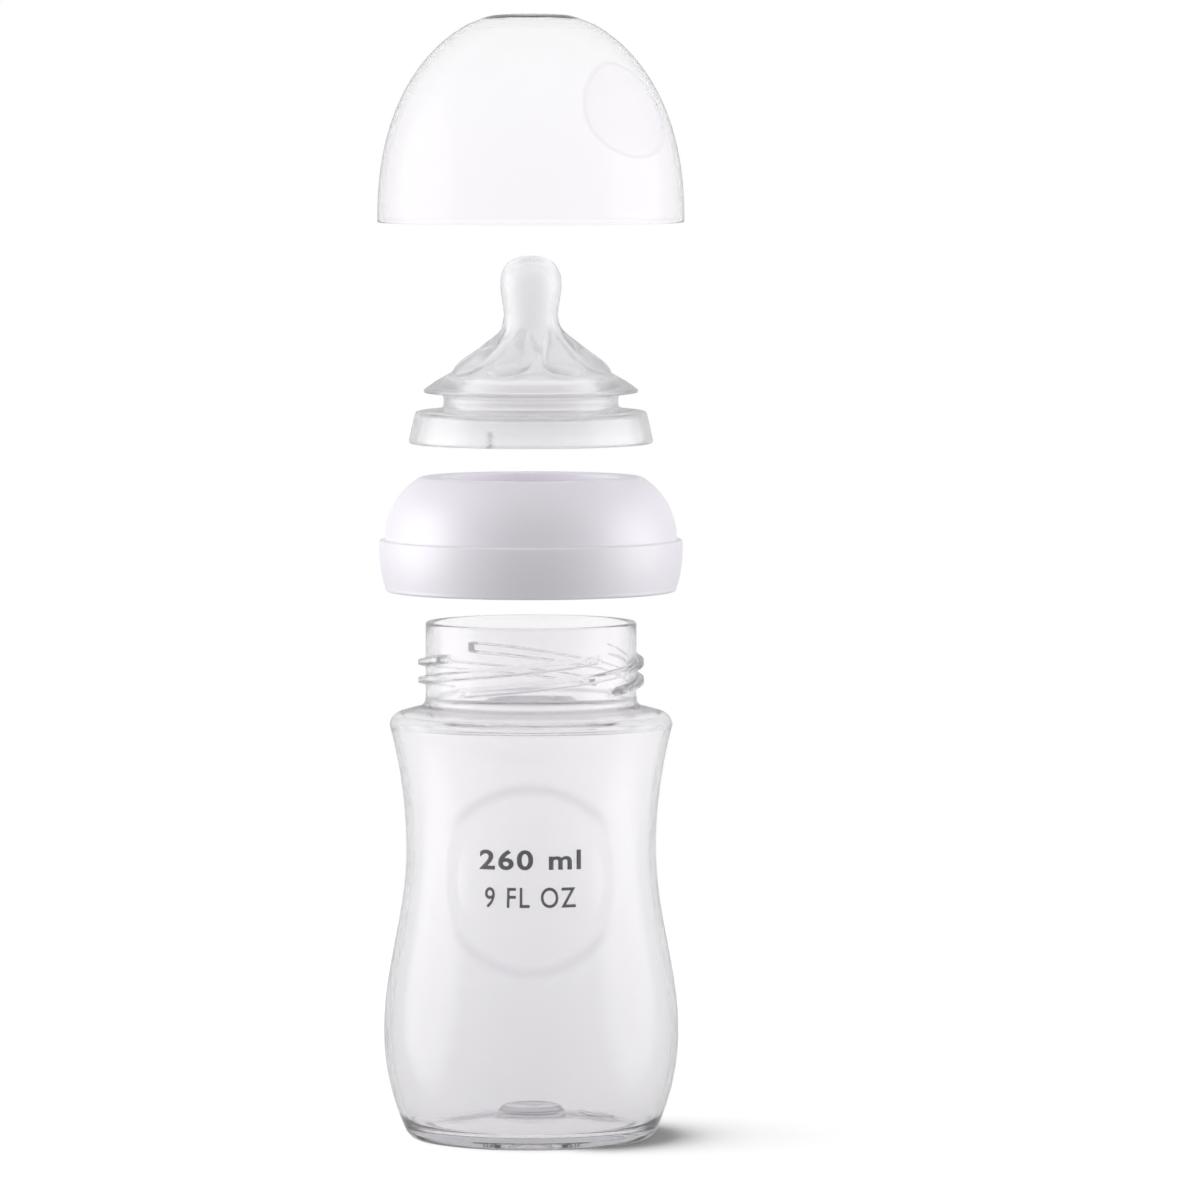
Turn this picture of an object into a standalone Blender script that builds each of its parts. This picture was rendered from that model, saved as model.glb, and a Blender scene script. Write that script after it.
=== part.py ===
"""Baby bottle: bottle, screw ring, teat and cap, drawn apart on one upright axis.

Runs in Blender 4.5, in the background or from the text editor. Metres, +Z up,
with the origin at the centre of the bottle's foot. The front faces -Y.

The four pieces stand in the order in which they close the bottle. Each one moves
straight down to its seat: the ring over the neck, the teat into the ring's hole,
and the cap onto the ring's ledge. Every outline is a list of (radius, height)
points, measured from the bottom of its own piece.
"""

import math

import bmesh
import bpy

# Driving dimensions of the bottle
BOTTLE_HEIGHT = 0.1178
BOTTLE_WALL = 0.0016
FOOT_RADIUS = 0.0272           # flat ring that the bottle stands on
FOOT_WALL_RADIUS = 0.0279      # where the belly's curve would meet the ground
BELLY_RADIUS = 0.0336
BELLY_HEIGHT = 0.024
WAIST_RADIUS = 0.02845
WAIST_HEIGHT = 0.066
SHOULDER_RADIUS = 0.0322
SHOULDER_HEIGHT = 0.0943
SHOULDER_ROUND = 0.003
NECK_RADIUS = 0.024
NECK_BORE = 0.0223
NECK_FOOT_HEIGHT = 0.0993
NECK_FILLET = 0.0013
FLOOR_HEIGHT = 0.0032          # inside floor where it meets the wall
PUSH_UP_HEIGHT = 0.0062        # raised middle of the floor
PUSH_UP_RADIUS = 0.0058

# Thread on the neck: equal ribs, one starting every quarter turn
THREAD_STARTS = 4
THREAD_CREST = 0.0257
THREAD_SPAN = 176.0            # degrees that one rib goes round
THREAD_FIRST = -43.5           # degrees right of the front where a rib begins
THREAD_BOTTOM = 0.1025
THREAD_TOP = 0.1105
THREAD_ROOT_THICKNESS = 0.0022
THREAD_CREST_THICKNESS = 0.0013

# Screw ring
RING_HEIGHT = 0.026
RING_RADIUS = 0.0345
RING_FOOT_RADIUS = 0.0329
RING_LEDGE = 0.0117            # height of the ledge that carries the cap
RING_WALL = 0.0015
RING_LIP = 0.0023              # thickness round the teat hole
RING_HOLE = 0.0202
DOME_CENTRE = 0.0185           # radius of the middle of the dome's elliptical section
DOME_WIDTH = 0.0147
DOME_RISE = 0.016
TOP_LAND_RADIUS = 0.0251
SLEEVE_BORE = 0.0265
SLEEVE_WALL = 0.0015
SLEEVE_BOTTOM = 0.0015
SLEEVE_TOP = 0.0143
LUG_RADIUS = 0.026             # clears the thread's crest, so the ring slides straight
LUG_SPAN = 30.0
LUG_HEIGHT = 0.0034

# Teat
TEAT_HEIGHT = 0.0426
SKIRT_RADIUS = 0.0277
SKIRT_BORE = 0.0262
SKIRT_TOP = 0.0073
WEB_HEIGHT = 0.0062            # underside of the web that seals on the bottle's rim
GROOVE_RADIUS = 0.0199
GROOVE_BOTTOM = 0.0085
GROOVE_TOP = 0.0107
FLARE_RADIUS = 0.0244
THROAT_RADIUS = 0.0181
MILK_HOLE = 0.0004
VENT_ANGLE = -19.0             # degrees right of the front
VENT_WIDTH = 0.0012
VENT_HEIGHT = 0.0035
VENT_DEPTH = 0.0007

# Cap
CAP_HEIGHT = 0.0472
CAP_RADIUS = 0.03485
CAP_WALL = 0.0012
CAP_TOP_WALL = 0.0011
CAP_APEX = 0.0486              # height where the dome's curve would close
CAP_POWER = 2.3                # fullness of the dome's curve
DIMPLE_ANGLE = 45.0            # thumb dimple, degrees right of the front
DIMPLE_HEIGHT = 0.0255
DIMPLE_HALF_ANGLE = 21.0
DIMPLE_HALF_HEIGHT = 0.0112
DIMPLE_DEPTH = 0.0016

# Heights of the pieces above the foot, drawn apart
RING_PLACE = 0.1248
TEAT_PLACE = 0.1584
CAP_PLACE = 0.2087

SIDES = 40                     # facets round the axis
EDGE_ROUND = 0.0004


def arc(centre, radii, start, end, steps):
    """Points of an elliptical arc, its angles in degrees from outward towards up."""
    points = []
    for step in range(steps + 1):
        angle = math.radians(start + (end - start) * step / steps)
        radius = centre[0] + radii[0] * math.cos(angle)
        height = centre[1] + radii[1] * math.sin(angle)
        points.append((radius, height))
    return points


def around(radius, degrees, height):
    """Point at an angle measured from the front, -Y, towards the right, +X."""
    angle = math.radians(degrees)
    return (radius * math.sin(angle), -radius * math.cos(angle), height)


def evenly(first, last, steps):
    """Evenly spaced values from first to last, both included."""
    return [first + (last - first) * step / steps for step in range(steps + 1)]


def plastic(name, colour, roughness, alpha):
    """Principled material of one moulded piece."""
    material = bpy.data.materials.new(name)
    material.use_nodes = True
    shader = material.node_tree.nodes["Principled BSDF"]
    shader.inputs["Base Color"].default_value = (*colour, 1.0)
    shader.inputs["Roughness"].default_value = roughness
    shader.inputs["Metallic"].default_value = 0.0
    shader.inputs["Alpha"].default_value = alpha
    return material


def add_object(name, mesh, material, height):
    """Turn a bmesh into an object whose origin is on the axis at the given height."""
    bmesh.ops.recalc_face_normals(mesh, faces=mesh.faces)
    data = bpy.data.meshes.new(name)
    mesh.to_mesh(data)
    mesh.free()
    data.shade_smooth()
    data.set_sharp_from_angle(angle=math.radians(40))
    data.materials.append(material)
    piece = bpy.data.objects.new(name, data)
    piece.location.z = height
    bpy.context.scene.collection.objects.link(piece)
    return piece


def turned(outline, is_loop):
    """Spin an outline about Z. A loop is a ring's section; otherwise it ends on the axis."""
    mesh = bmesh.new()
    points = [mesh.verts.new((radius, 0, height)) for radius, height in outline]
    edges = [mesh.edges.new(pair) for pair in zip(points, points[1:])]
    if is_loop:
        edges.append(mesh.edges.new((points[-1], points[0])))
    bmesh.ops.spin(
        mesh, geom=points + edges, axis=(0, 0, 1), cent=(0, 0, 0),
        steps=SIDES, angle=math.tau, use_merge=True,
    )
    bmesh.ops.remove_doubles(mesh, verts=mesh.verts, dist=1e-7)
    return mesh


def add_rib(mesh, first, span, inner, outer, bottom, top, root, crest):
    """Add a closed helical rib that climbs from bottom to top as it goes round."""
    steps = round(span / 11)
    sections = []
    for step in range(steps + 1):
        angle = first + span * step / steps
        height = bottom + (top - bottom) * step / steps
        corners = [
            (inner, height - root / 2),
            (outer, height - crest / 2),
            (outer, height + crest / 2),
            (inner, height + root / 2),
        ]
        sections.append([mesh.verts.new(around(radius, angle, z)) for radius, z in corners])
    for here, there in zip(sections, sections[1:]):
        for corner in range(4):
            after = (corner + 1) % 4
            mesh.faces.new((here[corner], here[after], there[after], there[corner]))
    mesh.faces.new(sections[0][::-1])
    mesh.faces.new(sections[-1])


def join_with(piece, tool, operation):
    """Join a hidden tool to a piece, or cut it away, when the piece is evaluated."""
    tool.hide_render = True
    tool.display_type = "WIRE"
    boolean = piece.modifiers.new(tool.name, "BOOLEAN")
    boolean.operation = operation
    boolean.object = tool


def bottle_wall_radius(height):
    """Outside radius of the hour-glass wall."""
    if height < BELLY_HEIGHT:
        fall = (BELLY_HEIGHT - height) / BELLY_HEIGHT
        return BELLY_RADIUS - (BELLY_RADIUS - FOOT_WALL_RADIUS) * fall ** 2
    if height < WAIST_HEIGHT:
        climb = (height - BELLY_HEIGHT) / (WAIST_HEIGHT - BELLY_HEIGHT)
        blend = (1 - math.cos(math.pi * climb)) / 2
        return BELLY_RADIUS + (WAIST_RADIUS - BELLY_RADIUS) * blend
    climb = (height - WAIST_HEIGHT) / (SHOULDER_HEIGHT - WAIST_HEIGHT)
    return WAIST_RADIUS + (SHOULDER_RADIUS - WAIST_RADIUS) * climb ** 2


def bottle_outline():
    """Section from the middle of the underside, up the outside and down the inside."""
    push_up_under = PUSH_UP_HEIGHT - 0.0026
    recess = 0.0011
    underside = [
        (0, push_up_under),
        (PUSH_UP_RADIUS - 0.001, push_up_under),
        (PUSH_UP_RADIUS + 0.0012, recess),
        (FOOT_RADIUS - 0.0065, recess),
        (FOOT_RADIUS - 0.0045, 0),
        (FOOT_RADIUS, 0),
    ]
    heights = evenly(0.0014, BELLY_HEIGHT, 5) + evenly(0.031, WAIST_HEIGHT, 5) + evenly(0.073, 0.0932, 4)
    outside = [(bottle_wall_radius(height), height) for height in heights]
    shoulder = arc(
        (SHOULDER_RADIUS - SHOULDER_ROUND, SHOULDER_HEIGHT),
        (SHOULDER_ROUND, SHOULDER_ROUND), 0, 78, 4,
    )
    fillet_centre = (NECK_RADIUS + NECK_FILLET, NECK_FOOT_HEIGHT + NECK_FILLET / 2)
    fillet = arc(fillet_centre, (NECK_FILLET, NECK_FILLET), 255, 180, 2)
    neck = [
        (NECK_RADIUS, BOTTLE_HEIGHT - EDGE_ROUND),
        (NECK_RADIUS - EDGE_ROUND, BOTTLE_HEIGHT),
        (NECK_BORE + EDGE_ROUND, BOTTLE_HEIGHT),
        (NECK_BORE, BOTTLE_HEIGHT - EDGE_ROUND),
        (NECK_BORE, NECK_FOOT_HEIGHT),
        (NECK_BORE + 0.0012, NECK_FOOT_HEIGHT - 0.0019),
    ]
    inner_shoulder = arc(
        (SHOULDER_RADIUS - SHOULDER_ROUND - 0.0002, SHOULDER_HEIGHT - 0.0006),
        (SHOULDER_ROUND - BOTTLE_WALL, SHOULDER_ROUND - BOTTLE_WALL), 80, 0, 2,
    )
    inner_heights = evenly(0.088, WAIST_HEIGHT, 3) + evenly(0.055, BELLY_HEIGHT, 3) + [0.0155, 0.0075]
    inside = [(bottle_wall_radius(height) - BOTTLE_WALL, height) for height in inner_heights]
    floor = [
        (FOOT_RADIUS - 0.0004, FLOOR_HEIGHT + 0.0006),
        (FOOT_RADIUS - 0.002, FLOOR_HEIGHT),
        (PUSH_UP_RADIUS + 0.0024, FLOOR_HEIGHT + 0.0008),
        (PUSH_UP_RADIUS, PUSH_UP_HEIGHT),
        (0, PUSH_UP_HEIGHT),
    ]
    return underside + outside + shoulder + fillet + neck + inner_shoulder + inside + floor


def ring_outline():
    """Section of the outer shell with its lip, web and threaded inner sleeve."""
    foot_inner = RING_FOOT_RADIUS - RING_WALL
    taper_top = 0.009
    band = []
    for height in evenly(0.0008, taper_top, 3):
        fall = (taper_top - height) / taper_top
        band.append((RING_RADIUS - (RING_RADIUS - RING_FOOT_RADIUS) * fall ** 2, height))
    dome_shape = (DOME_WIDTH, DOME_RISE)
    dome_end = math.degrees(math.acos((TOP_LAND_RADIUS - DOME_CENTRE) / DOME_WIDTH))
    dome = arc((DOME_CENTRE, RING_LEDGE), dome_shape, 0, dome_end, 6)
    underside = RING_HEIGHT - RING_LIP
    inner_shape = (DOME_WIDTH - RING_WALL, DOME_RISE - RING_WALL)
    inner_end = math.degrees(math.asin((underside - RING_LEDGE) / inner_shape[1]))
    inner_start = math.degrees(math.asin((SLEEVE_TOP - RING_LEDGE) / inner_shape[1]))
    inner_dome = arc((DOME_CENTRE, RING_LEDGE), inner_shape, inner_end, inner_start, 4)
    sleeve_outer = SLEEVE_BORE + SLEEVE_WALL
    web_under = SLEEVE_TOP - 0.0014
    shell_bore = DOME_CENTRE + DOME_WIDTH - RING_WALL
    outside = [(foot_inner, 0), (RING_FOOT_RADIUS - EDGE_ROUND, 0), *band]
    ledge = [(RING_RADIUS, RING_LEDGE - EDGE_ROUND), (RING_RADIUS - EDGE_ROUND, RING_LEDGE)]
    lip = [
        (RING_HOLE + EDGE_ROUND, RING_HEIGHT),
        (RING_HOLE, RING_HEIGHT - EDGE_ROUND),
        (RING_HOLE, underside + EDGE_ROUND),
        (RING_HOLE + EDGE_ROUND, underside),
    ]
    sleeve = [
        (SLEEVE_BORE + EDGE_ROUND, SLEEVE_TOP),
        (SLEEVE_BORE, SLEEVE_TOP - EDGE_ROUND),
        (SLEEVE_BORE, SLEEVE_BOTTOM + EDGE_ROUND),
        (SLEEVE_BORE + EDGE_ROUND, SLEEVE_BOTTOM),
        (sleeve_outer, SLEEVE_BOTTOM),
        (sleeve_outer, web_under),
    ]
    shell_inside = [(shell_bore, web_under), (RING_RADIUS - 0.0018, RING_LEDGE - RING_WALL)]
    return outside + ledge + dome + lip + inner_dome + sleeve + shell_inside


def teat_outline():
    """Section from the skirt up the outside to the milk hole, and down the inside."""
    skirt = [
        (SKIRT_BORE, 0),
        (SKIRT_RADIUS - EDGE_ROUND, 0),
        (SKIRT_RADIUS, EDGE_ROUND),
        (SKIRT_RADIUS - 0.0015, SKIRT_TOP - EDGE_ROUND),
        (SKIRT_RADIUS - 0.0019, SKIRT_TOP),
    ]
    groove = [
        (GROOVE_RADIUS + 0.0008, GROOVE_BOTTOM - EDGE_ROUND),
        (GROOVE_RADIUS, GROOVE_BOTTOM),
        (GROOVE_RADIUS, GROOVE_TOP),
        (FLARE_RADIUS - EDGE_ROUND, GROOVE_TOP + 0.0007),
        (FLARE_RADIUS, GROOVE_TOP + 0.0013),
        (FLARE_RADIUS - EDGE_ROUND, GROOVE_TOP + 0.0019),
    ]
    cone = [
        (0.0219, 0.0140),
        (0.0172, 0.0168),
        (0.0126, 0.0198),
        (0.0098, 0.0220),
        (0.0079, 0.0240),
        (0.0068, 0.0262),
    ]
    bulb_radius = 0.00695
    nipple = [
        (0.0061, 0.0292),
        (bulb_radius - 0.0004, 0.0320),
        (bulb_radius, 0.0355),
        *arc((0.0022, 0.0383), (bulb_radius - 0.0022, TEAT_HEIGHT - 0.0383), 10, 88, 4),
        (MILK_HOLE, TEAT_HEIGHT),
    ]
    inside = [
        (MILK_HOLE, TEAT_HEIGHT - 0.0016),
        (0.0032, 0.0402),
        (0.0049, 0.0378),
        (0.0050, 0.0345),
        (0.0043, 0.0292),
        (0.0050, 0.0258),
        (0.0075, 0.0223),
        (0.0112, 0.0188),
        (0.0157, 0.0157),
        (THROAT_RADIUS, 0.0136),
        (THROAT_RADIUS, WEB_HEIGHT + EDGE_ROUND),
        (THROAT_RADIUS + EDGE_ROUND, WEB_HEIGHT),
        (NECK_RADIUS + EDGE_ROUND, WEB_HEIGHT),
    ]
    return skirt + groove + cone + nipple + inside


def dome_radius(height, rim_radius, apex):
    """Radius of the cap's dome, a superellipse cut off flat near its apex."""
    return rim_radius * math.sqrt(1 - (height / apex) ** CAP_POWER)


def cap_outline():
    """Section from the top down the outside, round the rim and up the inside."""
    inner_top = CAP_HEIGHT - CAP_TOP_WALL
    inner_apex = CAP_APEX - CAP_TOP_WALL
    inner_rim = CAP_RADIUS - CAP_WALL
    outside = []
    inside = []
    for angle in evenly(90, 0, 11):
        share = math.sin(math.radians(angle))
        outside.append((dome_radius(CAP_HEIGHT * share, CAP_RADIUS, CAP_APEX), CAP_HEIGHT * share))
        inside.insert(0, (dome_radius(inner_top * share, inner_rim, inner_apex), inner_top * share))
    return [(0, CAP_HEIGHT), *outside, *inside, (0, inner_top)]


def press_dimple(mesh):
    """Push both skins of the cap's wall in by the same oval dish."""
    for vertex in mesh.verts:
        angle = math.degrees(math.atan2(vertex.co.x, -vertex.co.y))
        across = (angle - DIMPLE_ANGLE) / DIMPLE_HALF_ANGLE
        up = (vertex.co.z - DIMPLE_HEIGHT) / DIMPLE_HALF_HEIGHT
        reach = across ** 2 + up ** 2
        radius = math.hypot(vertex.co.x, vertex.co.y)
        if reach < 1 and radius > DIMPLE_DEPTH:
            keep = 1 - DIMPLE_DEPTH * (1 - reach) / radius
            vertex.co.x *= keep
            vertex.co.y *= keep


def make_bottle(clear):
    bottle = add_object("bottle", turned(bottle_outline(), is_loop=False), clear, 0)
    ribs = bmesh.new()
    for start in range(THREAD_STARTS):
        add_rib(
            ribs, THREAD_FIRST + start * 360 / THREAD_STARTS, THREAD_SPAN,
            NECK_RADIUS - 0.0006, THREAD_CREST, THREAD_BOTTOM, THREAD_TOP,
            THREAD_ROOT_THICKNESS, THREAD_CREST_THICKNESS,
        )
    join_with(bottle, add_object("thread_ribs", ribs, clear, 0), "UNION")


def make_screw_ring(white):
    ring = add_object("screw_ring", turned(ring_outline(), is_loop=True), white, RING_PLACE)
    lugs = bmesh.new()
    climb = (THREAD_TOP - THREAD_BOTTOM) * LUG_SPAN / THREAD_SPAN
    for start in range(THREAD_STARTS):
        add_rib(
            lugs, start * 360 / THREAD_STARTS, LUG_SPAN,
            SLEEVE_BORE + 0.0006, LUG_RADIUS, LUG_HEIGHT, LUG_HEIGHT + climb,
            THREAD_ROOT_THICKNESS, THREAD_CREST_THICKNESS,
        )
    join_with(ring, add_object("ring_lugs", lugs, white, RING_PLACE), "UNION")


def make_teat(silicone):
    teat = add_object("teat", turned(teat_outline(), is_loop=True), silicone, TEAT_PLACE)
    slot = bmesh.new()
    bmesh.ops.create_cube(slot, size=1)
    reach = VENT_DEPTH * 2
    bmesh.ops.scale(slot, verts=slot.verts, vec=(VENT_WIDTH, reach, VENT_HEIGHT * 2))
    cutter = add_object("vent_slot", slot, silicone, TEAT_PLACE)
    cutter.location.x, cutter.location.y = around(SKIRT_RADIUS - 0.0003, VENT_ANGLE, 0)[:2]
    cutter.rotation_euler.z = math.radians(VENT_ANGLE)
    join_with(teat, cutter, "DIFFERENCE")


def make_cap(clear):
    mesh = turned(cap_outline(), is_loop=False)
    press_dimple(mesh)
    add_object("cap", mesh, clear, CAP_PLACE)


def main():
    for leftover in list(bpy.data.objects):
        bpy.data.objects.remove(leftover, do_unlink=True)
    make_bottle(plastic("clear_plastic", (0.86, 0.86, 0.88), 0.08, 0.35))
    make_screw_ring(plastic("white_plastic", (0.84, 0.83, 0.87), 0.3, 1.0))
    make_teat(plastic("silicone", (0.82, 0.82, 0.84), 0.35, 0.7))
    make_cap(plastic("frosted_plastic", (0.93, 0.93, 0.95), 0.2, 0.4))


main()
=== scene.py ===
"""Looks of the baby bottle: fine meshes, materials, studio, lights and camera.

The four mouldings are turned again from smooth outlines with their fine relief: the
neck's thread, the bottle's pressed disc, the teat's petals and the cap's dimple.
Every outline is in metres, as (radius, height) above the bottom of its own CAD node.
Angles go from the front, -Y, towards the right, +X.
"""

import math

import bmesh
import bpy
import numpy as np
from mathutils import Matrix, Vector


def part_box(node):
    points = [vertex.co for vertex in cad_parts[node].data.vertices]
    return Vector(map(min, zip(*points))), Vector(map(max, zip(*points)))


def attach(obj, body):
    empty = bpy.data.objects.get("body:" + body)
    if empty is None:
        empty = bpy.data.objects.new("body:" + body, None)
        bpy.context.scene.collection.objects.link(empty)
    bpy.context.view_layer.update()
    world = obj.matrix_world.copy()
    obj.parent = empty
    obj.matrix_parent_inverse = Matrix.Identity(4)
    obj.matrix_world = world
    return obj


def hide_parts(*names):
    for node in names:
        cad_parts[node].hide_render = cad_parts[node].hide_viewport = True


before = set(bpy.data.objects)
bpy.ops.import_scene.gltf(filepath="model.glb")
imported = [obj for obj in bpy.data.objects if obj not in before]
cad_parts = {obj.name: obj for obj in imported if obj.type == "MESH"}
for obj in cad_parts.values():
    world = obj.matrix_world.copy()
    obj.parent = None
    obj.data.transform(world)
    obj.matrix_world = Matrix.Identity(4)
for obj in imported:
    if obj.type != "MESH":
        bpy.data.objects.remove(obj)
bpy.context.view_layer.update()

MM = 0.001
CLEAR_SIDES = 512             # the clear walls show every facet, so they have the most

# ---------------------------------------------------------------- shape helpers


def base_of(node):
    """Height of a node's lowest point."""
    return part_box(node)[0].z


def radius_of(node):
    """Half of a node's width across."""
    low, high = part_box(node)
    return (high.y - low.y) / 2


def height_of(node):
    low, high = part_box(node)
    return high.z - low.z


def smoothstep(low, high, value):
    """0 below low, 1 above high, with an even ease between them."""
    share = np.clip((value - low) / (high - low), 0, 1)
    return share * share * (3 - 2 * share)


def arc(centre, radii, start, end, steps=10):
    """Points of an elliptical arc, its angles in degrees from outward towards up."""
    points = []
    for step in range(steps + 1):
        angle = math.radians(start + (end - start) * step / steps)
        points.append((centre[0] + radii[0] * math.cos(angle), centre[1] + radii[1] * math.sin(angle)))
    return points


def line(start, end, spacing=0.5 * MM):
    """Evenly spaced points from start to end, both included."""
    steps = max(1, round(math.dist(start, end) / spacing))
    return [
        (start[0] + (end[0] - start[0]) * step / steps, start[1] + (end[1] - start[1]) * step / steps)
        for step in range(steps + 1)
    ]


def curve(points, spacing=0.5 * MM):
    """A smooth curve through the points: Catmull-Rom, with its ends carried straight on."""
    first = (2 * points[0][0] - points[1][0], 2 * points[0][1] - points[1][1])
    last = (2 * points[-1][0] - points[-2][0], 2 * points[-1][1] - points[-2][1])
    knots = [first, *points, last]
    made = [points[0]]
    for before, start, end, after in zip(knots, knots[1:], knots[2:], knots[3:]):
        steps = max(1, round(math.dist(start, end) / spacing))
        for step in range(1, steps + 1):
            t = step / steps
            made.append(tuple(
                (2 * b + (c - a) * t + (2 * a - 5 * b + 4 * c - d) * t * t
                 + (3 * b - a - 3 * c + d) * t ** 3) / 2
                for a, b, c, d in zip(before, start, end, after)
            ))
    return made


def evenly(first, last, steps):
    return [first + (last - first) * step / steps for step in range(steps + 1)]


def turned(name, runs, sides, base, is_loop=False):
    """Closed mesh of an outline turned about Z, standing at height base.

    The outline is a list of (points, relief) runs. A relief takes the angles round the
    axis, a radius and a height, and says how far the surface stands out there along its
    own normal. A loop is a ring's section; any other outline is closed by flat faces.
    """
    radii, heights, reliefs = [], [], []
    for points, relief in runs:
        for radius, height in points:
            if radii and math.hypot(radius - radii[-1], height - heights[-1]) < 1e-6:
                continue
            radii.append(radius)
            heights.append(height)
            reliefs.append(relief)
    count = len(radii)
    angles = np.arange(sides) * math.tau / sides
    grid = np.empty((count, sides, 3))
    for row in range(count):
        before = row - 1 if row or is_loop else row
        after = (row + 1) % count if is_loop else min(row + 1, count - 1)
        along = Vector((radii[after] - radii[before], heights[after] - heights[before])).normalized()
        stand = np.zeros(sides)
        if reliefs[row]:
            stand = reliefs[row](angles, radii[row], heights[row])
        radius = radii[row] + stand * along.y
        grid[row, :, 0] = radius * np.sin(angles)
        grid[row, :, 1] = -radius * np.cos(angles)
        grid[row, :, 2] = heights[row] - stand * along.x + base
    here = np.arange(sides)
    there = (here + 1) % sides
    faces = []
    for row in range(count if is_loop else count - 1):
        low, high = row * sides, (row + 1) % count * sides
        faces.extend(np.stack([low + here, low + there, high + there, high + here], 1).tolist())
    if not is_loop:
        faces.append(list(range(sides))[::-1])
        faces.append(list(range((count - 1) * sides, count * sides)))
    mesh = bpy.data.meshes.new(name)
    mesh.from_pydata(grid.reshape(-1, 3).tolist(), [], faces)
    mesh.shade_smooth()
    mesh.set_sharp_from_angle(angle=math.radians(50))
    piece = bpy.data.objects.new(name, mesh)
    bpy.context.scene.collection.objects.link(piece)
    return piece


def place(piece, body, slot, material, *nodes):
    """Finish a piece: its material, the body it rides on and the CAD nodes it replaces."""
    piece.data.materials.clear()
    piece.data.materials.append(material)
    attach(piece, body)
    if nodes:
        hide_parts(*nodes)
    return piece


# ---------------------------------------------------------------- materials


class Nodes:
    """Short calls to build a material's node tree round its Principled shader."""

    def __init__(self, name):
        self.material = bpy.data.materials.new(name)
        self.material.use_nodes = True
        self.tree = self.material.node_tree
        self.shader = self.tree.nodes["Principled BSDF"]
        self.output = self.tree.nodes["Material Output"]
        self.place = self.add("ShaderNodeTexCoord").outputs["Object"]

    def add(self, kind, **values):
        node = self.tree.nodes.new(kind)
        for name, value in values.items():
            setattr(node, name, value)
        return node

    def link(self, source, target):
        self.tree.links.new(source, target)

    def set(self, **values):
        for name, value in values.items():
            self.shader.inputs[name.replace("_", " ")].default_value = value

    def noise(self, scale, detail=3.0):
        """A noise of the given scale, per metre."""
        node = self.add("ShaderNodeTexNoise")
        node.inputs["Scale"].default_value = scale
        node.inputs["Detail"].default_value = detail
        self.link(self.place, node.inputs["Vector"])
        return node.outputs["Fac"]

    def span(self, value, low, high):
        """Map a 0 to 1 value onto low to high."""
        node = self.add("ShaderNodeMapRange")
        node.inputs["To Min"].default_value = low
        node.inputs["To Max"].default_value = high
        self.link(value, node.inputs["Value"])
        return node.outputs["Result"]

    def eased(self, value, start, end):
        """Ease from 0 where the value is start to 1 where it is end."""
        node = self.add("ShaderNodeMapRange", interpolation_type="SMOOTHSTEP")
        node.inputs["From Min"].default_value = start
        node.inputs["From Max"].default_value = end
        self.link(value, node.inputs["Value"])
        return node.outputs["Result"]

    def tint(self, share, first, second):
        """Let the base colour run from the first colour, where the share is 0, to the second."""
        mix = self.add("ShaderNodeMixRGB")
        mix.inputs["Color1"].default_value = (*first, 1)
        mix.inputs["Color2"].default_value = (*second, 1)
        self.link(share, mix.inputs["Fac"])
        self.link(mix.outputs["Color"], self.shader.inputs["Base Color"])

    def shade(self, share, colour):
        """Blend the base colour towards another colour by the given share."""
        base = self.shader.inputs["Base Color"]
        mix = self.add("ShaderNodeMixRGB")
        mix.inputs["Color2"].default_value = (*colour, 1)
        self.link(base.links[0].from_socket, mix.inputs["Color1"])
        self.link(share, mix.inputs["Fac"])
        self.link(mix.outputs["Color"], base)

    def math(self, operation, first, second=None):
        """Result of a Math node, either value a socket or a number."""
        node = self.add("ShaderNodeMath", operation=operation)
        for value, socket in zip((first, second), node.inputs):
            if isinstance(value, (int, float)):
                socket.default_value = value
            elif value is not None:
                self.link(value, socket)
        return node.outputs["Value"]

    def product(self, *values):
        """Several sockets multiplied together."""
        total = values[0]
        for value in values[1:]:
            total = self.math("MULTIPLY", total, value)
        return total

    def length(self, across, up):
        """Length of the arrow with these two sides."""
        return self.math("SQRT", self.math("ADD", self.product(across, across), self.product(up, up)))

    def axes(self):
        """Sockets of the object's own X, Y and Z."""
        split = self.add("ShaderNodeSeparateXYZ")
        self.link(self.place, split.inputs["Vector"])
        return split.outputs["X"], split.outputs["Y"], split.outputs["Z"]

    def front(self, depth):
        """1 on the front half, from the socket of Y."""
        return self.eased(depth, 5 * MM, -5 * MM)

    def band(self, value, centre, half_width):
        """1 where the value is the centre, easing to 0 half a width away."""
        return self.eased(self.math("ABSOLUTE", self.math("SUBTRACT", value, centre)), half_width, 0)

    def bump(self, value, distance, strength):
        node = self.add("ShaderNodeBump")
        node.inputs["Distance"].default_value = distance
        node.inputs["Strength"].default_value = strength
        self.link(value, node.inputs["Height"])
        self.link(node.outputs["Normal"], self.shader.inputs["Normal"])

    def let_lamps_through(self, share):
        """Shadow rays pass the piece, each wall dimming them to the given share."""
        clear = self.add("ShaderNodeBsdfTransparent")
        clear.inputs["Color"].default_value = (share, share, share, 1)
        choose = self.add("ShaderNodeMixShader")
        self.link(self.add("ShaderNodeLightPath").outputs["Is Shadow Ray"], choose.inputs["Fac"])
        self.link(self.shader.outputs["BSDF"], choose.inputs[1])
        self.link(clear.outputs["BSDF"], choose.inputs[2])
        self.link(choose.outputs["Shader"], self.output.inputs["Surface"])
        return clear

    def absorb(self, colour, density):
        """Darken what is seen through thick stretches of the plastic."""
        volume = self.add("ShaderNodeVolumeAbsorption")
        volume.inputs["Color"].default_value = (*colour, 1)
        volume.inputs["Density"].default_value = density
        self.link(volume.outputs["Volume"], self.output.inputs["Volume"])


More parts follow.
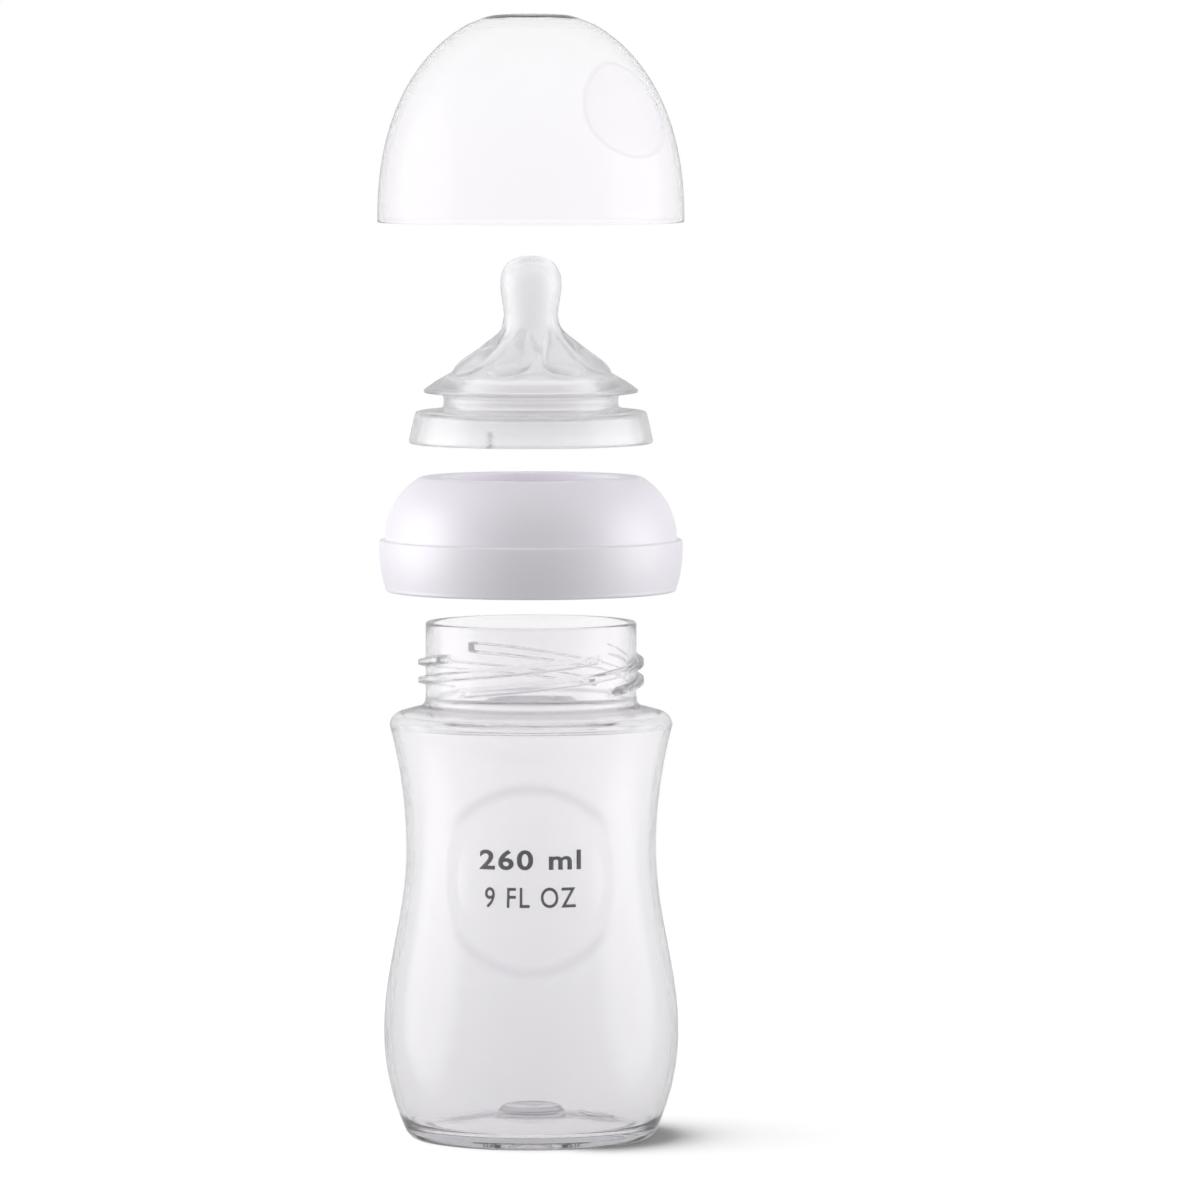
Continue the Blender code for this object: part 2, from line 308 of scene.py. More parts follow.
def clear_plastic():
    nodes = Nodes("clear_plastic")
    nodes.set(Transmission_Weight=0.905, IOR=1.42, Specular_IOR_Level=0.8)
    nodes.link(nodes.span(nodes.noise(60), 0.0, 0.04), nodes.shader.inputs["Roughness"])
    nodes.absorb((0.5, 0.49, 0.52), 17)
    across, depth, up = nodes.axes()
    # Painted shade: the base colour darkens towards the bottom, standing in for the dimmer floor seen
    # through the lower bottle.
    shaded_low_tint, high_tint = (0.877, 0.869, 0.884), (0.961, 0.953, 0.966)
    nodes.tint(nodes.eased(up, -10 * MM, 115 * MM), shaded_low_tint, high_tint)
    # Painted shade: the base colour is darker in bands round the neck's foot and along the bevel of the
    # pressed disc, standing in for the dark refraction through the thick plastic there.
    nodes.shade(nodes.band(up, NECK_FOOT_HEIGHT - 1 * MM, 1.2 * MM), (0.55, 0.54, 0.56))
    nodes.shade(nodes.band(up, NECK_FOOT_HEIGHT + 1.4 * MM, 0.8 * MM), (0.65, 0.64, 0.66))
    # Painted shade along the disc's bevel, strongest above and below the disc, on the front half only.
    from_disc = nodes.math("SUBTRACT", up, DISC_HEIGHT)
    bevel_shade = nodes.band(nodes.length(from_disc, across), DISC_RADIUS - 1.3 * MM, 2.3 * MM)
    ends = nodes.eased(nodes.math("ABSOLUTE", from_disc), 8 * MM, 16 * MM)
    nodes.shade(nodes.product(bevel_shade, ends, nodes.front(depth)), (0.85, 0.84, 0.86))
    # The thick heel, where the wall meets the floor, holds back more light on the side away from the lamp.
    lets_through, heel_lets_through = 0.97, 0.25
    clear = nodes.let_lamps_through(lets_through)
    lamp_side = nodes.eased(across, 18 * MM, 5 * MM)
    above_heel = nodes.eased(up, 5 * MM, 13 * MM)
    clearest = nodes.math("MAXIMUM", lamp_side, above_heel)
    nodes.link(nodes.span(clearest, heel_lets_through, lets_through), clear.inputs["Color"])
    return nodes.material


def frosted_plastic():
    nodes = Nodes("frosted_plastic")
    nodes.set(Transmission_Weight=0.975, IOR=1.22, Specular_IOR_Level=0.4)
    nodes.link(nodes.span(nodes.noise(80), 0.03, 0.05), nodes.shader.inputs["Roughness"])
    nodes.absorb((0.6, 0.59, 0.62), 26)
    across, depth, up = nodes.axes()
    rim = base_of("cap")
    nodes.tint(nodes.eased(up, rim, rim + CAP_HEIGHT), (0.99, 0.98, 0.995), (1, 0.995, 1))
    # Painted shade: the base colour is darker along the dimple's edge and a little darker on its floor,
    # standing in for the refraction at the dimple.
    turn = nodes.math("ARCTAN2", across, nodes.product(depth, -1.0))
    turn = nodes.math("SUBTRACT", turn, math.radians(DIMPLE_ANGLE))
    climb = nodes.math("SUBTRACT", up, rim + DIMPLE_HEIGHT)
    reach = nodes.length(
        nodes.math("DIVIDE", turn, math.radians(DIMPLE_HALF_ANGLE)),
        nodes.math("DIVIDE", climb, DIMPLE_HALF_HEIGHT),
    )
    nodes.shade(nodes.band(reach, 0.95, 0.08), (0.87, 0.86, 0.885))
    nodes.shade(nodes.eased(reach, 1.0, 0.9), (0.97, 0.96, 0.98))
    nodes.let_lamps_through(0.9)
    return nodes.material


def silicone():
    nodes = Nodes("silicone")
    nodes.set(Transmission_Weight=0.8, IOR=1.35)
    across, depth, up = nodes.axes()
    foot = base_of("teat")
    nodes.tint(nodes.eased(up, 158 * MM, 166 * MM), (1, 0.995, 1), (0.925, 0.92, 0.93))
    # Painted shade: the base colour is darker in the vent's notch in the skirt, where the recess lies in
    # shade.
    notch_shade = nodes.band(across, SKIRT_RADIUS * math.sin(VENT_ANGLE), 1.2 * MM)
    low = nodes.eased(up, foot + 4 * MM, foot + 3 * MM)
    nodes.shade(nodes.product(notch_shade, nodes.front(depth), low), (0.78, 0.77, 0.79))
    nodes.link(nodes.span(nodes.noise(150), 0.14, 0.2), nodes.shader.inputs["Roughness"])
    nodes.absorb((0.6, 0.59, 0.62), 35)
    nodes.let_lamps_through(0.6)
    return nodes.material


def white_plastic():
    nodes = Nodes("white_plastic")
    nodes.set(Base_Color=(0.885, 0.857, 0.923, 1), IOR=1.49, Subsurface_Weight=0.25, Subsurface_Scale=0.002)
    nodes.shader.inputs["Subsurface Radius"].default_value = (1.0, 1.0, 1.0)
    nodes.link(nodes.span(nodes.noise(200), 0.28, 0.36), nodes.shader.inputs["Roughness"])
    nodes.bump(nodes.noise(3000, 2.0), 0.00002, 0.12)
    return nodes.material


def grey_print():
    nodes = Nodes("grey_print")
    nodes.set(Base_Color=(0.16, 0.155, 0.17, 1))
    nodes.link(nodes.span(nodes.noise(900), 0.45, 0.6), nodes.shader.inputs["Roughness"])
    nodes.bump(nodes.noise(4000, 2.0), 0.00002, 0.2)
    return nodes.material


# ---------------------------------------------------------------- bottle

BELLY_RADIUS = radius_of("bottle")
BOTTLE_HEIGHT = height_of("bottle")
BELLY_HEIGHT = 24 * MM
FOOT_RADIUS = 27.2 * MM
FOOT_WALL_RADIUS = 27.9 * MM
WAIST_RADIUS = 28.45 * MM
WAIST_HEIGHT = 66 * MM
SHOULDER_RADIUS = 32.2 * MM
SHOULDER_HEIGHT = 94.3 * MM
SHOULDER_ROUND = 3 * MM
BOTTLE_WALL = 1.6 * MM
NECK_RADIUS = 24 * MM
NECK_BORE = 22.3 * MM
NECK_FOOT_HEIGHT = 99.3 * MM
PUSH_UP_HEIGHT = 7.4 * MM
PUSH_UP_RADIUS = 6.6 * MM
FLOOR_HEIGHT = 3.2 * MM
FLOOR_MARK_ANGLE = 112.0
FLOOR_MARK_HALF_ANGLE = 14.0
FLOOR_MARK_RADIUS = 16 * MM
FLOOR_MARK_HALF_LENGTH = 3.5 * MM
FLOOR_MARK_RISE = 0.45 * MM

THREAD_STARTS = 4
THREAD_FIRST = -43.5
THREAD_SPAN = 176.0
THREAD_BOTTOM = 102.5 * MM
THREAD_TOP = 110.5 * MM
THREAD_DEPTH = 1.7 * MM
THREAD_CREST = 1.0 * MM
THREAD_ROOT = 2.2 * MM
THREAD_END = 5 * MM           # how far a rib takes to rise from nothing

DISC_HEIGHT = 61.3 * MM
DISC_RADIUS = 22 * MM
DISC_BEVEL = 4.4 * MM
DISC_DEPTH = 0.65 * MM
DISC_INSIDE = 0.6             # share of the depth that shows on the inside


def wall_radius(height):
    """Outside radius of the bottle's hour-glass wall."""
    if height < BELLY_HEIGHT:
        fall = (BELLY_HEIGHT - height) / BELLY_HEIGHT
        return BELLY_RADIUS - (BELLY_RADIUS - FOOT_WALL_RADIUS) * fall ** 2
    if height < WAIST_HEIGHT:
        climb = (height - BELLY_HEIGHT) / (WAIST_HEIGHT - BELLY_HEIGHT)
        return BELLY_RADIUS + (WAIST_RADIUS - BELLY_RADIUS) * (1 - math.cos(math.pi * climb)) / 2
    climb = (height - WAIST_HEIGHT) / (SHOULDER_HEIGHT - WAIST_HEIGHT)
    return WAIST_RADIUS + (SHOULDER_RADIUS - WAIST_RADIUS) * climb ** 2


def disc_relief(angles, radius, height):
    """The shallow round disc pressed into the front."""
    sideways = ((angles + math.pi) % math.tau - math.pi) * radius
    reach = np.hypot(sideways, height - DISC_HEIGHT)
    return -DISC_DEPTH * (1 - smoothstep(DISC_RADIUS - DISC_BEVEL, DISC_RADIUS, reach))


def inner_disc_relief(angles, radius, height):
    """The inside follows most of the pressed disc."""
    return -DISC_INSIDE * disc_relief(angles, radius + BOTTLE_WALL, height)


def thread_relief(angles, radius, height):
    """Four equal ribs that climb round the neck, a quarter turn apart."""
    stand = np.zeros_like(angles)
    for start in range(THREAD_STARTS):
        first = THREAD_FIRST + 360 * start / THREAD_STARTS
        turn = (np.degrees(angles) - first) % 360
        middle = THREAD_BOTTOM + (THREAD_TOP - THREAD_BOTTOM) * turn / THREAD_SPAN
        rib = 1 - smoothstep(THREAD_CREST / 2, THREAD_ROOT / 2, np.abs(height - middle))
        to_end = np.radians(np.minimum(turn, THREAD_SPAN - turn)) * radius
        stand = np.maximum(stand, THREAD_DEPTH * rib * smoothstep(0, THREAD_END, to_end))
    return stand


def floor_mark_relief(angles, radius, height):
    """A small raised tab on the bottle's floor, beside the push-up."""
    turn = np.abs(np.degrees(angles) - FLOOR_MARK_ANGLE)
    across = 1 - smoothstep(FLOOR_MARK_HALF_ANGLE - 3, FLOOR_MARK_HALF_ANGLE, turn)
    along = 1 - float(smoothstep(FLOOR_MARK_HALF_LENGTH - 0.5 * MM, FLOOR_MARK_HALF_LENGTH,
                                 abs(radius - FLOOR_MARK_RADIUS)))
    return FLOOR_MARK_RISE * across * along


def make_bottle(material):
    """The clear bottle, its foot, floor, wall, shoulder and threaded neck."""
    recess = 3.2 * MM
    flat_foot = (FOOT_RADIUS - 4.4 * MM, FOOT_RADIUS - 0.6 * MM)
    underside = curve([
        (0.3 * MM, recess),
        (PUSH_UP_RADIUS, recess - 0.3 * MM),
        (14 * MM, recess / 2),
        (flat_foot[0] - 2.5 * MM, 0.4 * MM),
        (flat_foot[0] - 0.3 * MM, 0.03 * MM),
    ])
    foot = [
        *line((flat_foot[0], 0), (flat_foot[1], 0)),
        *curve([
            (flat_foot[1] + 0.3 * MM, 0.04 * MM),
            (FOOT_RADIUS + 0.45 * MM, 0.5 * MM),
            (wall_radius(1.6 * MM), 1.6 * MM),
        ], 0.25 * MM),
    ]
    wall = [(wall_radius(height), height) for height in evenly(1.6 * MM, 93.3 * MM, 180)]
    shoulder = arc(
        (SHOULDER_RADIUS - SHOULDER_ROUND, SHOULDER_HEIGHT),
        (SHOULDER_ROUND, SHOULDER_ROUND), 0, 76, 16,
    )
    neck_foot = curve([
        shoulder[-1],
        (27.2 * MM, 97.95 * MM),
        (25.3 * MM, 98.5 * MM),
        (24.35 * MM, 99.3 * MM),
        (NECK_RADIUS, 100.6 * MM),
    ], 0.25 * MM)
    thread_low = THREAD_BOTTOM - THREAD_ROOT / 2
    thread_high = THREAD_TOP + THREAD_ROOT / 2
    neck = line((NECK_RADIUS, thread_low), (NECK_RADIUS, thread_high), 0.14 * MM)
    rim_round = 0.55 * MM
    rim = [
        *arc((NECK_RADIUS - rim_round, BOTTLE_HEIGHT - rim_round), (rim_round, rim_round), 0, 90, 6),
        *arc((NECK_BORE + rim_round, BOTTLE_HEIGHT - rim_round), (rim_round, rim_round), 90, 180, 6),
    ]
    bore = line((NECK_BORE, BOTTLE_HEIGHT - rim_round), (NECK_BORE, NECK_FOOT_HEIGHT + 1 * MM), 2 * MM)
    inner_shoulder = curve([
        (NECK_BORE, NECK_FOOT_HEIGHT + 1 * MM),
        (NECK_BORE + 0.5 * MM, NECK_FOOT_HEIGHT - 1 * MM),
        (NECK_BORE + 2.5 * MM, NECK_FOOT_HEIGHT - 2.3 * MM),
        (28.6 * MM, SHOULDER_HEIGHT + 1.5 * MM),
        (30.2 * MM, SHOULDER_HEIGHT + 0.1 * MM),
        (wall_radius(92 * MM) - BOTTLE_WALL, 92 * MM),
    ], 0.3 * MM)
    heel = 5.6 * MM
    inner_wall = [(wall_radius(height) - BOTTLE_WALL, height) for height in evenly(91.5 * MM, heel, 120)]
    floor = curve([
        (wall_radius(heel) - BOTTLE_WALL, heel),
        (28.0 * MM, 4.4 * MM),
        (27.1 * MM, 3.6 * MM),
        (25.6 * MM, FLOOR_HEIGHT),
        (17 * MM, FLOOR_HEIGHT + 1.1 * MM),
        (PUSH_UP_RADIUS + 2.2 * MM, FLOOR_HEIGHT + 2.1 * MM),
        (PUSH_UP_RADIUS + 0.9 * MM, PUSH_UP_HEIGHT - 1.1 * MM),
        (PUSH_UP_RADIUS - 0.4 * MM, PUSH_UP_HEIGHT),
        (PUSH_UP_RADIUS - 2 * MM, PUSH_UP_HEIGHT - 0.1 * MM),
        (0.3 * MM, PUSH_UP_HEIGHT - 0.4 * MM),
    ], 0.3 * MM)
    runs = [
        (underside, None),
        (foot, None),
        (wall, disc_relief),
        (shoulder, None),
        (neck_foot, None),
        (neck, thread_relief),
        (rim, None),
        (bore, None),
        (inner_shoulder, None),
        (inner_wall, inner_disc_relief),
        (floor, floor_mark_relief),
    ]
    piece = turned("bottle_moulding", runs, CLEAR_SIDES, base_of("bottle"))
    return place(piece, "bottle", "clear_plastic", material, "bottle")


def make_print(material):
    """The capacity marking, two lines wrapped onto the bottle's pressed disc."""
    sink, thickness = 0.02 * MM, 0.05 * MM
    lines = [
        ("260 ml", 65.9 * MM, 24 * MM, 0.16 * MM),
        ("9 FL OZ", 57.4 * MM, 21 * MM, 0.05 * MM),
    ]
    made = bmesh.new()
    for text, height, width, weight in lines:
        words = bpy.data.curves.new("words", "FONT")
        words.body = text
        words.size = 6.2 * MM
        words.space_character = 1.15
        words.offset = weight
        words.resolution_u = 6
        writing = bpy.data.objects.new("words", words)
        bpy.context.scene.collection.objects.link(writing)
        flat = bpy.data.meshes.new_from_object(writing)
        bpy.data.objects.remove(writing)
        corners = np.array([vertex.co for vertex in flat.vertices])
        middle = (corners.max(0) + corners.min(0)) / 2
        size = corners.max(0) - corners.min(0)
        stretch = (width / size[0], 4.6 * MM / size[1])
        for vertex in flat.vertices:
            vertex.co.x = (vertex.co.x - middle[0]) * stretch[0]
            vertex.co.y = (vertex.co.y - middle[1]) * stretch[1] + height
        made.from_mesh(flat)
    for axis, reach, centre in ((0, 13 * MM, 0), (1, 12 * MM, DISC_HEIGHT)):
        normal = (1, 0, 0) if axis == 0 else (0, 1, 0)
        for place_along in evenly(centre - reach, centre + reach, 48):
            point = (place_along, 0, 0) if axis == 0 else (0, place_along, 0)
            bmesh.ops.bisect_plane(
                made, geom=made.verts[:] + made.edges[:] + made.faces[:], plane_co=point, plane_no=normal,
            )
    bmesh.ops.remove_doubles(made, verts=made.verts, dist=1e-6)
    made.normal_update()
    front = made.faces[:]
    grown = bmesh.ops.extrude_face_region(made, geom=front)
    raised = {item for item in grown["geom"] if isinstance(item, bmesh.types.BMVert)}
    for vertex in made.verts:
        around, height = vertex.co.x, vertex.co.y
        angle = around / WAIST_RADIUS
        surface = wall_radius(height) + disc_relief(np.array([angle]), WAIST_RADIUS, height)[0]
        radius = surface + sink + (thickness if vertex in raised else 0)
        vertex.co = (radius * math.sin(angle), -radius * math.cos(angle), height)
    bmesh.ops.recalc_face_normals(made, faces=made.faces)
    mesh = bpy.data.meshes.new("capacity_print")
    made.to_mesh(mesh)
    made.free()
    piece = bpy.data.objects.new("capacity_print", mesh)
    bpy.context.scene.collection.objects.link(piece)
    return place(piece, "bottle", "grey_print", material)


# ---------------------------------------------------------------- screw ring

RING_RADIUS = radius_of("screw_ring")
RING_HEIGHT = height_of("screw_ring")
RING_FOOT_RADIUS = 32.9 * MM
RING_LEDGE = 11.7 * MM
RING_WALL = 1.5 * MM
RING_LIP = 2.3 * MM
RING_HOLE = 20.2 * MM
DOME_CENTRE = 18.5 * MM
DOME_WIDTH = 14.7 * MM
DOME_RISE = 16 * MM
TOP_LAND_RADIUS = 25.1 * MM
SLEEVE_BORE = 26.5 * MM
SLEEVE_WALL = 1.5 * MM
SLEEVE_BOTTOM = 1.5 * MM
SLEEVE_TOP = 14.3 * MM
LUG_SPAN = 30.0
LUG_DEPTH = 0.5 * MM
LUG_BOTTOM = 3.4 * MM
LUG_END = 0.8 * MM


def lug_relief(angles, radius, height):
    """Four short ribs inside the sleeve."""
    stand = np.zeros_like(angles)
    for start in range(THREAD_STARTS):
        turn = (np.degrees(angles) - 360 * start / THREAD_STARTS) % 360
        middle = LUG_BOTTOM + (THREAD_TOP - THREAD_BOTTOM) * turn / THREAD_SPAN
        rib = 1 - smoothstep(THREAD_CREST / 2, THREAD_ROOT / 2, np.abs(height - middle))
        to_end = np.radians(np.minimum(turn, LUG_SPAN - turn)) * radius
        stand = np.maximum(stand, LUG_DEPTH * rib * smoothstep(0, LUG_END, to_end))
    return stand


def make_ring(material):
    """The white screw ring: banded foot, ledge, dome, lip and threaded sleeve."""
    taper_top = 9 * MM
    foot_inner = RING_FOOT_RADIUS - RING_WALL
    band = []
    for height in evenly(0.9 * MM, taper_top, 20):
        fall = (taper_top - height) / taper_top
        band.append((RING_RADIUS - (RING_RADIUS - RING_FOOT_RADIUS) * fall ** 2, height))
    edge = 0.35 * MM
    foot = arc((band[0][0] - 0.8 * MM, 0.8 * MM), (0.8 * MM, 0.8 * MM), -90, 0, 6)
    ledge = [
        *arc((RING_RADIUS - edge, RING_LEDGE - edge), (edge, edge), 0, 90, 6),
        (DOME_CENTRE + DOME_WIDTH + 0.15 * MM, RING_LEDGE),
        (DOME_CENTRE + DOME_WIDTH, RING_LEDGE + 0.15 * MM),
    ]
    dome_end = math.degrees(math.acos((TOP_LAND_RADIUS - DOME_CENTRE) / DOME_WIDTH))
    dome = arc((DOME_CENTRE, RING_LEDGE), (DOME_WIDTH, DOME_RISE), 1.5, dome_end - 1.5, 40)
    underside = RING_HEIGHT - RING_LIP
    lip = [
        (TOP_LAND_RADIUS, RING_HEIGHT - 0.06 * MM),
        (TOP_LAND_RADIUS - 0.4 * MM, RING_HEIGHT),
        *arc((RING_HOLE + 0.6 * MM, RING_HEIGHT - 0.6 * MM), (0.6 * MM, 0.6 * MM), 90, 180, 6),
        *arc((RING_HOLE + edge, underside + edge), (edge, edge), 180, 270, 5),
    ]
    inner_shape = (DOME_WIDTH - RING_WALL, DOME_RISE - RING_WALL)
    inner_end = math.degrees(math.asin((underside - RING_LEDGE) / inner_shape[1]))
    inner_start = math.degrees(math.asin((SLEEVE_TOP - RING_LEDGE) / inner_shape[1]))
    inner_dome = arc((DOME_CENTRE, RING_LEDGE), inner_shape, inner_end, inner_start, 20)
    sleeve_outer = SLEEVE_BORE + SLEEVE_WALL
    web_under = SLEEVE_TOP - 1.4 * MM
    sleeve_top = [
        (SLEEVE_BORE + 0.5 * MM, SLEEVE_TOP),
        (SLEEVE_BORE, SLEEVE_TOP - 0.5 * MM),
    ]
    bore = line((SLEEVE_BORE, SLEEVE_TOP - 0.5 * MM), (SLEEVE_BORE, SLEEVE_BOTTOM + 0.4 * MM), 0.2 * MM)
    sleeve_outside = [
        (SLEEVE_BORE + 0.4 * MM, SLEEVE_BOTTOM),
        (sleeve_outer, SLEEVE_BOTTOM),
        (sleeve_outer, web_under),
        (DOME_CENTRE + DOME_WIDTH - RING_WALL, web_under),
    ]
    shell_inside = [
        (RING_RADIUS - 1.8 * MM, RING_LEDGE - RING_WALL),
        *[(radius - RING_WALL, height) for radius, height in reversed(band[1:])],
        (foot_inner, 0.3 * MM),
        (foot_inner + 0.3 * MM, 0),
    ]
    runs = [
        (foot, None), (band, None), (ledge, None), (dome, None), (lip, None),
        (inner_dome, None), (sleeve_top, None), (bore, lug_relief), (sleeve_outside, None),
        (shell_inside, None),
    ]
    piece = turned("ring_moulding", runs, 256, base_of("screw_ring"), is_loop=True)
    return place(piece, "screw_ring", "white_plastic", material, "screw_ring")


# ---------------------------------------------------------------- teat

TEAT_HEIGHT = height_of("teat")
SKIRT_RADIUS = radius_of("teat")
SKIRT_BORE = 26.2 * MM
SKIRT_TOP = 7.3 * MM
WEB_HEIGHT = 6.2 * MM
GROOVE_RADIUS = 19.9 * MM
GROOVE_BOTTOM = 8.5 * MM
GROOVE_TOP = 10.7 * MM
FLARE_RADIUS = 24.4 * MM
THROAT_RADIUS = 18.1 * MM
MILK_HOLE = 0.4 * MM

PETALS = 7
PETAL_FIRST = 30.0            # degrees right of the front, at the petals' round ends
PETAL_TWIST = 9.0             # degrees that a petal turns as it climbs to its narrow end
PETAL_LOW = 16.0 * MM
PETAL_WIDE = 18.6 * MM
PETAL_HIGH = 28.0 * MM
PETAL_HALF_ANGLE = 20.0
PETAL_DEPTH = 1.45 * MM
PETAL_INSIDE = 0.2            # share of the petals that shows on the inside
PETAL_WALL = 2.2 * MM         # how much lower the inside stands
RIDGE_DEPTH = 0.25 * MM


def from_nearest(angles, first, count):
    """Degrees from the nearest of several places spaced evenly round the axis."""
    spacing = 360 / count
    return (np.degrees(angles) - first + spacing / 2) % spacing - spacing / 2


def petal_relief(angles, radius, height):
    """Raised teardrops that turn a little as they climb the cone, and the ridges between their feet."""
    climb = (height - PETAL_LOW) / (PETAL_HIGH - PETAL_LOW)
    if not 0 < climb < 1:
        return np.zeros_like(angles)
    twist = PETAL_TWIST * climb
    foot = max(0.0, (PETAL_WIDE - height) / (PETAL_WIDE - PETAL_LOW))
    half = PETAL_HALF_ANGLE * (1 - 0.5 * float(smoothstep(0.25, 1.0, climb)))
    away = np.abs(from_nearest(angles, PETAL_FIRST + twist, PETALS)) / half
    pillow = np.clip(1 - away ** 2 - foot ** 2, 0, 1) ** 0.6
    stand = PETAL_DEPTH * pillow * (1 - float(smoothstep(0.45, 1.0, climb)))
    between = PETAL_FIRST + 180 / PETALS + twist
    ridge = 1 - smoothstep(0.4, 1.8, np.abs(from_nearest(angles, between, PETALS)))
    rise = float(smoothstep(0.06, 0.16, climb) * (1 - smoothstep(0.3, 0.42, climb)))
    return stand + RIDGE_DEPTH * ridge * rise


def inner_petal_relief(angles, radius, height):
    """The same petals stand out on the inside of the cone."""
    return PETAL_INSIDE * petal_relief(angles, radius, height + PETAL_WALL)


VENT_ANGLE = math.radians(-19)
VENT_DEPTH = 0.9 * MM


def vent_relief(angles, radius, height):
    """A short upright notch in the skirt's lower edge."""
    sideways = np.abs(((angles - VENT_ANGLE) + math.pi) % math.tau - math.pi) * radius
    across = 1 - smoothstep(0.25 * MM, 0.6 * MM, sideways)
    return -VENT_DEPTH * across * (1 - smoothstep(3.0 * MM, 3.7 * MM, height))


def make_teat(material):
    """The silicone teat: skirt, groove, flare, petalled cone, bulb and milk hole."""
    skirt = curve([
        (SKIRT_RADIUS - 0.9 * MM, 0.05 * MM),
        (SKIRT_RADIUS - 0.25 * MM, 0.1 * MM),
        (SKIRT_RADIUS, 0.5 * MM),
        (SKIRT_RADIUS - 0.12 * MM, 1.5 * MM),
        (SKIRT_RADIUS - 1.3 * MM, 6.6 * MM),
        (SKIRT_RADIUS - 1.9 * MM, SKIRT_TOP),
        (SKIRT_RADIUS - 3.2 * MM, SKIRT_TOP + 0.25 * MM),
        (GROOVE_RADIUS + 2.0 * MM, GROOVE_BOTTOM - 0.7 * MM),
        (GROOVE_RADIUS + 0.5 * MM, GROOVE_BOTTOM - 0.35 * MM),
        (GROOVE_RADIUS, GROOVE_BOTTOM + 0.2 * MM),
        (GROOVE_RADIUS, GROOVE_TOP - 0.2 * MM),
        (GROOVE_RADIUS + 0.35 * MM, GROOVE_TOP + 0.3 * MM),
        (GROOVE_RADIUS + 1.4 * MM, GROOVE_TOP + 0.5 * MM),
        (FLARE_RADIUS - 0.9 * MM, GROOVE_TOP + 0.75 * MM),
        (FLARE_RADIUS - 0.1 * MM, GROOVE_TOP + 1.0 * MM),
        (FLARE_RADIUS, GROOVE_TOP + 1.35 * MM),
        (FLARE_RADIUS - 0.35 * MM, GROOVE_TOP + 1.8 * MM),
    ], 0.3 * MM)
    cone = curve([
        (FLARE_RADIUS - 0.35 * MM, GROOVE_TOP + 1.8 * MM),
        (21.9 * MM, 14.0 * MM),
        (19.3 * MM, 15.5 * MM),
        (17.1 * MM, 16.8 * MM),
        (12.5 * MM, 19.9 * MM),
        (9.8 * MM, 22.0 * MM),
        (7.9 * MM, 24.1 * MM),
        (6.75 * MM, 26.3 * MM),
        (6.1 * MM, 29.2 * MM),
    ], 0.16 * MM)
    bulb = curve([
        (6.1 * MM, 29.2 * MM),
        (6.5 * MM, 32.0 * MM),
        (6.93 * MM, 35.3 * MM),
        (6.85 * MM, 37.8 * MM),
        (6.2 * MM, 39.7 * MM),
        (4.9 * MM, 41.35 * MM),
        (2.9 * MM, 42.3 * MM),
        (1.2 * MM, TEAT_HEIGHT - 0.02 * MM),
        (MILK_HOLE + 0.1 * MM, TEAT_HEIGHT),
        (MILK_HOLE, TEAT_HEIGHT - 0.1 * MM),
        (MILK_HOLE, TEAT_HEIGHT - 1.5 * MM),
        (MILK_HOLE + 0.2 * MM, TEAT_HEIGHT - 1.7 * MM),
        (3.2 * MM, 40.2 * MM),
        (4.9 * MM, 37.8 * MM),
        (5.0 * MM, 34.5 * MM),
        (4.4 * MM, 30.5 * MM),
        (4.3 * MM, 29.0 * MM),
    ], 0.3 * MM)
    inner_cone = curve([
        (4.3 * MM, 29.0 * MM),
        (5.0 * MM, 25.8 * MM),
        (7.5 * MM, 22.3 * MM),
        (11.2 * MM, 18.8 * MM),
        (15.7 * MM, 15.7 * MM),
        (17.6 * MM, 14.3 * MM),
        (THROAT_RADIUS, 12.8 * MM),
    ], 0.25 * MM)
    throat = [
        *line((THROAT_RADIUS, 12.8 * MM), (THROAT_RADIUS, WEB_HEIGHT + 0.4 * MM)),
        (THROAT_RADIUS + 0.4 * MM, WEB_HEIGHT),
        *line((THROAT_RADIUS + 0.6 * MM, WEB_HEIGHT), (NECK_RADIUS + 0.2 * MM, WEB_HEIGHT)),
        (NECK_RADIUS + 0.4 * MM, WEB_HEIGHT - 0.2 * MM),
        *line((NECK_RADIUS + 0.45 * MM, WEB_HEIGHT - 0.5 * MM), (SKIRT_BORE, 0.5 * MM)),
        (SKIRT_BORE + 0.15 * MM, 0.1 * MM),
        (SKIRT_BORE + 0.4 * MM, 0),
        (SKIRT_RADIUS - 1.0 * MM, 0),
    ]
    runs = [
        (skirt[:60], vent_relief), (skirt[60:], None), (cone, petal_relief), (bulb, None),
        (inner_cone, inner_petal_relief), (throat, None),
    ]
    piece = turned("teat_moulding", runs, 384, base_of("teat"), is_loop=True)
    return place(piece, "teat", "silicone", material, "teat")


# ---------------------------------------------------------------- cap

CAP_RADIUS = radius_of("cap")
CAP_HEIGHT = height_of("cap")
CAP_WALL = 1.2 * MM
CAP_TOP_WALL = 1.1 * MM
CAP_APEX = CAP_HEIGHT + 1.4 * MM
CAP_POWER = 2.3
DIMPLE_ANGLE = 48.0
DIMPLE_HEIGHT = 25.5 * MM
DIMPLE_HALF_ANGLE = 24.5
DIMPLE_HALF_HEIGHT = 10.8 * MM
DIMPLE_DEPTH = 1.0 * MM
CAP_ROWS = 200
CROWN = ((3.5 * MM, 0.03 * MM), (6.5 * MM, 0.16 * MM), (9.8 * MM, 0.62 * MM))
CROWN_RADIUS = 14.5 * MM


def dome_radius(height, rim_radius, apex):
    return rim_radius * math.sqrt(1 - (height / apex) ** CAP_POWER)


def crown(top):
    """Outline of the nearly flat top, from the axis outwards."""
    return [(0.3 * MM, top), *((radius, top - drop) for radius, drop in CROWN)]


